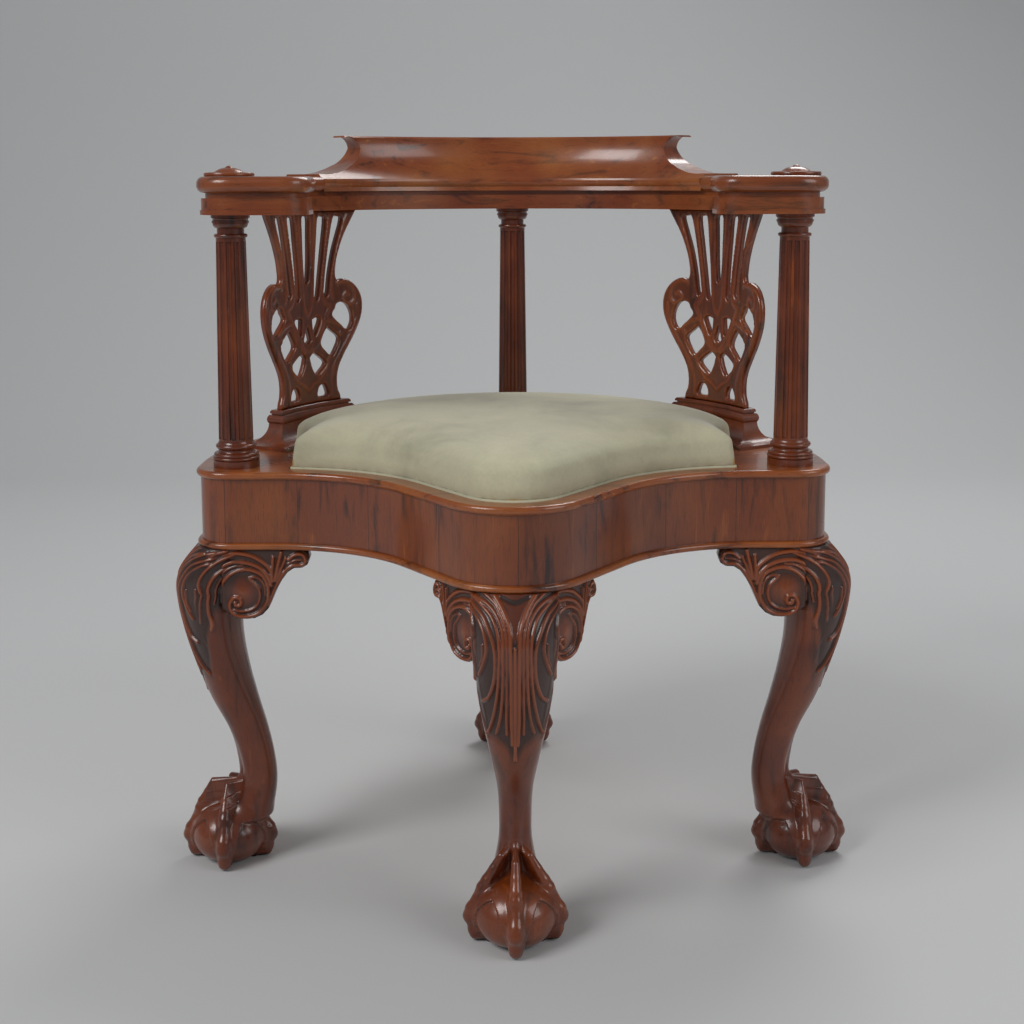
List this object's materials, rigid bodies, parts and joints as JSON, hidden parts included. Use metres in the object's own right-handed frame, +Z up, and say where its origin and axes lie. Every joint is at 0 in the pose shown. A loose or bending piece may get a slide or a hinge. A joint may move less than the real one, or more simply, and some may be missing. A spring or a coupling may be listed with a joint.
{
  "type": "corner chair",
  "caption": "Carved wooden corner chair with cabriole legs and ball-and-claw feet, a half-round arm bow on fluted columns, pierced splats and a lift-out upholstered seat.",
  "frame": {"origin": "on the floor under the middle of the chair's outer box", "axes": "+Z up, -Y towards the front corner leg, +X towards the side leg on the right of the picture"},
  "size_m": [0.753, 0.656, 0.816],
  "materials": {
    "carved_walnut": "french polished",
    "polished_walnut": "french polished",
    "crest_walnut": "french polished",
    "cross_grain_facing": "french polished cross-grain veneer",
    "edge_moulding": "french polished",
    "rail_wood": "bare, darkened with age",
    "screw_steel": "dull",
    "seat_frame_wood": "bare beech",
    "jute_webbing": "woven jute",
    "hessian": "woven jute cloth",
    "stuffing": "felted hair",
    "seat_cover_cloth": "suede-like cloth",
    "tack_iron": "blued iron"
  },
  "bodies": {
    "chair": {"front_leg": "carved_walnut", "left_leg": "carved_walnut", "right_leg": "carved_walnut", "back_leg": "carved_walnut", "front_leg_left_ear": "carved_walnut", "front_leg_right_ear": "carved_walnut", "back_leg_left_ear": "carved_walnut", "back_leg_right_ear": "carved_walnut", "left_leg_front_ear": "carved_walnut", "left_leg_back_ear": "carved_walnut", "right_leg_front_ear": "carved_walnut", "right_leg_back_ear": "carved_walnut", "front_left_rail": "rail_wood", "front_right_rail": "rail_wood", "back_left_rail": "rail_wood", "back_right_rail": "rail_wood", "front_left_facing": "cross_grain_facing", "front_right_facing": "cross_grain_facing", "back_left_facing": "cross_grain_facing", "back_right_facing": "cross_grain_facing", "front_left_capping": "edge_moulding", "front_right_capping": "edge_moulding", "back_left_capping": "edge_moulding", "back_right_capping": "edge_moulding", "front_left_bead": "edge_moulding", "front_right_bead": "edge_moulding", "back_left_bead": "edge_moulding", "back_right_bead": "edge_moulding", "left_column": "polished_walnut", "right_column": "polished_walnut", "back_column": "polished_walnut", "left_shoe": "polished_walnut", "right_shoe": "polished_walnut", "left_splat": "polished_walnut", "right_splat": "polished_walnut", "left_arm": "polished_walnut", "right_arm": "polished_walnut", "arm_bow": "polished_walnut", "crest_rail": "crest_walnut", "left_boss": "polished_walnut", "right_boss": "polished_walnut", "crest_screws": "screw_steel"},
    "drop_in_seat": {"seat_frame_front_left": "seat_frame_wood", "seat_frame_front_right": "seat_frame_wood", "seat_frame_back_left": "seat_frame_wood", "seat_frame_back_right": "seat_frame_wood", "seat_webbing": "jute_webbing", "seat_hessian": "hessian", "seat_stuffing": "stuffing", "seat_cover": "seat_cover_cloth", "seat_tacks": "tack_iron"}
  },
  "joints": [
    {"name": "seat_lift", "type": "slide", "parent": "chair", "child": "drop_in_seat", "axis": [0, 0, 1], "range_m": [0, 0.12]}
  ]
}
